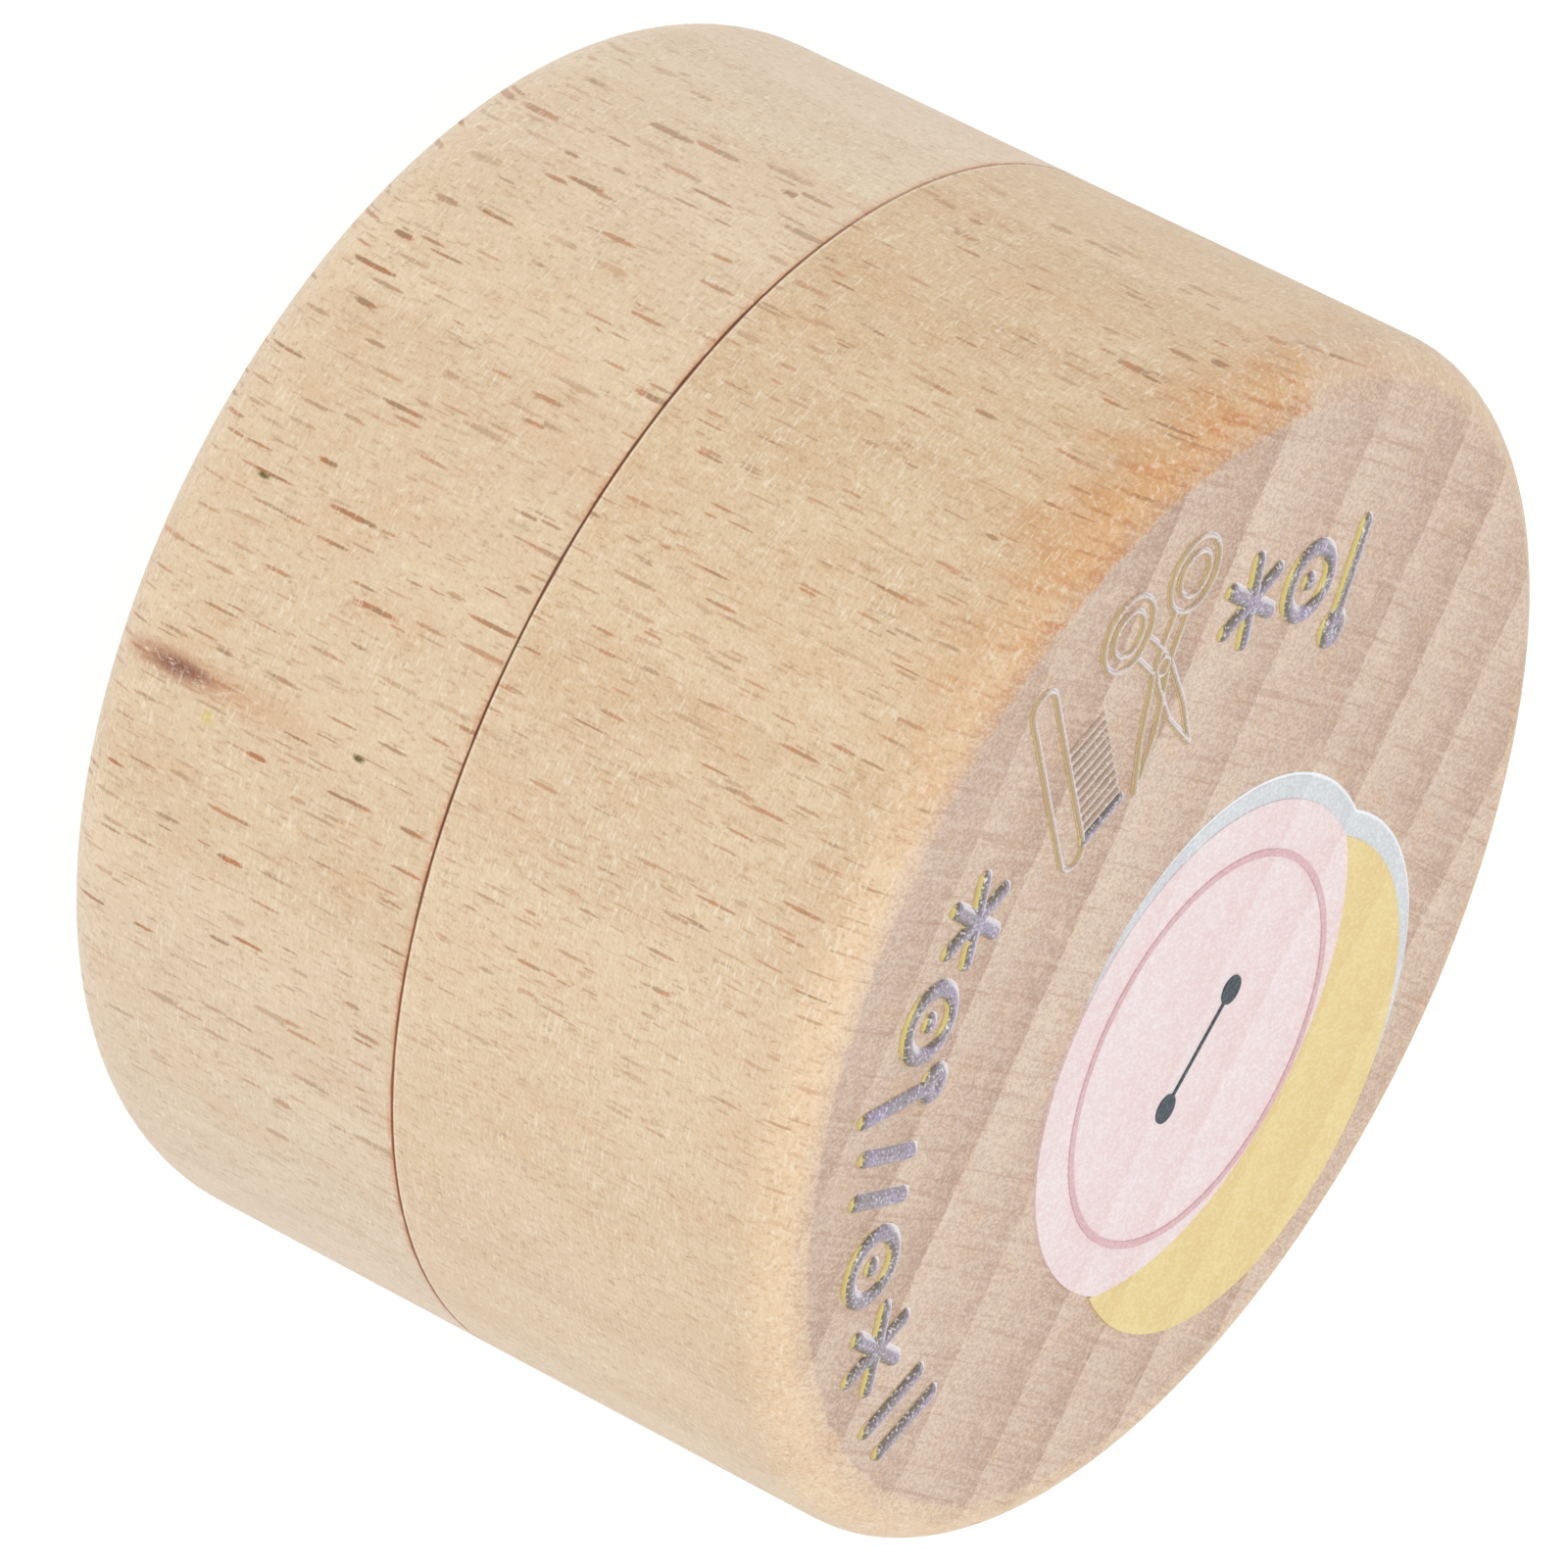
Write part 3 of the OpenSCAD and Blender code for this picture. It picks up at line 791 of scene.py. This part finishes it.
# shade and pale are the strokes' painted shade and painted highlight.
violet = varnish(
    "varnish_violet", light=srgb(166, 152, 178), dark=srgb(154, 142, 148),
    grain_light=srgb(246, 242, 252), grain_dark=srgb(92, 82, 100),
    shade=srgb(122, 112, 100), warm=srgb(224, 208, 116), pale=srgb(250, 247, 252),
)
lilac = varnish(
    "varnish_lilac", light=srgb(236, 224, 212), dark=srgb(224, 210, 200),
    grain_light=srgb(248, 244, 244), grain_dark=srgb(196, 180, 176),
    shade=srgb(190, 168, 146), warm=srgb(200, 178, 136), pale=srgb(206, 197, 220),
)
left = [(on_arc(angle), drawing) for angle, drawing in
        ((189, pin_drawing()), (198.5, ring_drawing()), (211.5, star_drawing()))]
right = [(on_arc(angle), drawing) for angle, drawing in
         ((269, star_drawing()), (282, ring_drawing()), (292, pin_drawing()),
          (302, pair_drawing()), (315, ring_drawing()), (329, star_drawing()),
          (343.5, pair_drawing()))]
scissors = [(on_arc(229.5), scissors_drawing())]
comb = [(on_arc(246.5, -6, (1.15, 0)), comb_drawing())]
for name, placed, height, voxel, material in (
        ("left", left, BOLD_HEIGHT, BOLD_VOXEL, violet),
        ("right", right, BOLD_HEIGHT, BOLD_VOXEL, violet),
        ("scissors", scissors, FINE_HEIGHT, FINE_VOXEL, lilac),
        ("comb", comb, FINE_HEIGHT, FINE_VOXEL, lilac)):
    piece = printed_piece("varnish_" + name, placed, height, voxel, material)
    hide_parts("relief_" + name)

# The comb's thick end tooth is darker. Its bead covers the outline's own tooth by a hair all round.
END_TOOTH_WIDER = 0.04
END_TOOTH_HIGHER = 0.02
end_tooth = [(path, width + END_TOOTH_WIDER, closed)
             for path, width, closed in comb_drawing() if width > FINE]
printed_piece("varnish_guard", [(comb[0][0], end_tooth)], FINE_HEIGHT + END_TOOTH_HIGHER, BOLD_VOXEL,
              violet)

# The misplaced ochre pass is a film on the wood that stands out beside the strokes, and on their other
# side a pale film is a painted highlight. The ochre one leaves out the comb's teeth.
FILM = 0.03
OCHRE_REACH = 0.10
HIGHLIGHT_REACH = -0.12
comb_back = [(comb[0][0], comb_drawing()[:1])]
ochre_pass = ink("ink_fringe_ochre", srgb(208, 186, 138), srgb(198, 170, 126), srgb(226, 206, 160))
pale_highlight_film = ink("ink_fringe_painted_highlight", srgb(240, 236, 242), srgb(228, 220, 226), srgb(250, 248, 252))
for name, reach, film, material, slot, comb_part in (
        ("fringe_ochre", OCHRE_REACH, FILM, ochre_pass, "ink_yellow", comb_back),
        ("fringe_painted_highlight", HIGHLIGHT_REACH, FILM / 2, pale_highlight_film, "ink_white", comb)):
    miss = Matrix.Translation(Vector(FRINGE_WAY) * reach)
    placed = [(miss @ matrix, drawing) for matrix, drawing in left + right + scissors + comb_part]
    printed_piece(name, placed, FINE_HEIGHT, BOLD_VOXEL, material, film)

# How far the painted highlight along the white ground's edge is moved from it, in millimetres, and its
# share of the thickness.
WHITE_HIGHLIGHT_SHIFT = (-0.14, -0.02)
WHITE_THICKNESS_SHARE = 0.5


def white_edge_highlight():
    """A painted highlight along the white ground's edge: a thinner, brighter film that stands out
    beyond it.
    """
    edge_highlight = ink("ink_white_edge_highlight", srgb(244, 247, 249), srgb(232, 236, 240), srgb(252, 253, 254))
    mesh = nodes["print_white"].data.copy()
    mesh.materials.clear()
    mesh.materials.append(edge_highlight)
    obj = bpy.data.objects.new("white_edge_highlight", mesh)
    bpy.context.scene.collection.objects.link(obj)
    obj.matrix_world = nodes["print_white"].matrix_world
    moved = Matrix.Translation((WHITE_HIGHLIGHT_SHIFT[0] * MM, WHITE_HIGHLIGHT_SHIFT[1] * MM, HEIGHT))
    thinned = Matrix.Scale(WHITE_THICKNESS_SHARE, 4, (0, 0, 1))
    mesh.transform(moved @ thinned @ Matrix.Translation((0, 0, -HEIGHT)))
    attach(obj, "lid_body")


white_edge_highlight()

# ---------------------------------------------------------------- floor, light and camera

# Metres, and the floor's grey and glow of 0 to 1.
FLOOR_Z = -0.02 * MM
FLOOR_REACH = 6.0
FLOOR_GREY = (0.12, 0.12, 0.12, 1.0)
FLOOR_GLOW = 0.93
WHITE = (1.0, 1.0, 1.0, 1.0)


def floor():
    """A plain pale floor, far larger than the box, that doesn't hide the box from below."""
    mesh = bpy.data.meshes.new("floor")
    corners = [(x * FLOOR_REACH, y * FLOOR_REACH, FLOOR_Z)
               for x, y in ((-1, -1), (1, -1), (1, 1), (-1, 1))]
    mesh.from_pydata(corners, [], [(0, 1, 2, 3)])
    obj = bpy.data.objects.new("floor", mesh)
    bpy.context.scene.collection.objects.link(obj)
    g = Graph("pale_floor")
    # The glow isn't sampled as a lamp, so the box's underside is lit evenly.
    g.material.cycles.emission_sampling = "NONE"
    mesh.materials.append(g.finish(
        clear_back=True, Base_Color=FLOOR_GREY, Roughness=0.9, Specular_IOR_Level=0.0,
        Emission_Color=WHITE, Emission_Strength=FLOOR_GLOW,
    ))


def area_light(name, place, target, size, power):
    light = bpy.data.lights.new(name, "AREA")
    light.shape = "DISK"
    light.size = size
    light.energy = power
    obj = bpy.data.objects.new(name, light)
    obj.location = place
    obj.rotation_euler = (Vector(target) - Vector(place)).to_track_quat("-Z", "Y").to_euler()
    bpy.context.scene.collection.objects.link(obj)


def surround(strength):
    """An even white surround."""
    world = bpy.data.worlds.new("studio")
    world.use_nodes = True
    world.node_tree.nodes["Background"].inputs["Color"].default_value = WHITE
    world.node_tree.nodes["Background"].inputs["Strength"].default_value = strength
    bpy.context.scene.world = world


# The photograph's camera, in box radii and degrees: it looks at the picture's foot from above, with a
# long lens, and is rolled so that the box lies on its side in the frame.
CAMERA_DISTANCE = 21.376
CAMERA_ELEVATION = 26.723
CAMERA_ROLL = -116.796
AIM_OFFSET = (0.0315, -0.0071, -0.0140)
# Millimetres on the sensor, and metres.
CAMERA_LENS = 320.56
SENSOR_WIDTH = 36.0
CLIP_NEAR = 0.01
CLIP_FAR = 50.0


def camera():
    middle = Vector((0, 0, HEIGHT / 2))
    rise = math.radians(CAMERA_ELEVATION)
    place = middle + Vector((0, -math.cos(rise), math.sin(rise))) * CAMERA_DISTANCE * RADIUS
    forward = (middle + Vector(AIM_OFFSET) * RADIUS - place).normalized()
    right = forward.cross(Vector((0, 0, 1))).normalized()
    up = right.cross(forward)
    roll = math.radians(CAMERA_ROLL)
    tilted_up = up * math.cos(roll) + right * math.sin(roll)
    tilted_right = forward.cross(tilted_up)
    lens = bpy.data.cameras.new("photo_camera")
    lens.lens = CAMERA_LENS
    lens.sensor_width = SENSOR_WIDTH
    lens.clip_start = CLIP_NEAR
    lens.clip_end = CLIP_FAR
    obj = bpy.data.objects.new("photo_camera", lens)
    turn = Matrix((tilted_right, tilted_up, -forward)).transposed().to_4x4()
    obj.matrix_world = Matrix.Translation(place) @ turn
    bpy.context.scene.collection.objects.link(obj)
    bpy.context.scene.camera = obj


SURROUND_STRENGTH = 0.66
LIGHT_TARGET = (0, 0, HEIGHT / 2)
# Name, place and width in metres, and power in watts.
LIGHTS = (
    ("top", (0.05, 0.05, 0.70), 0.40, 1.6),
    ("front", (0.0, -0.88, 0.35), 0.35, 1.2),
)

floor()
surround(SURROUND_STRENGTH)
for name, place, size, power in LIGHTS:
    area_light(name, place, LIGHT_TARGET, size, power)
camera()
bpy.context.scene.view_settings.view_transform = "Standard"
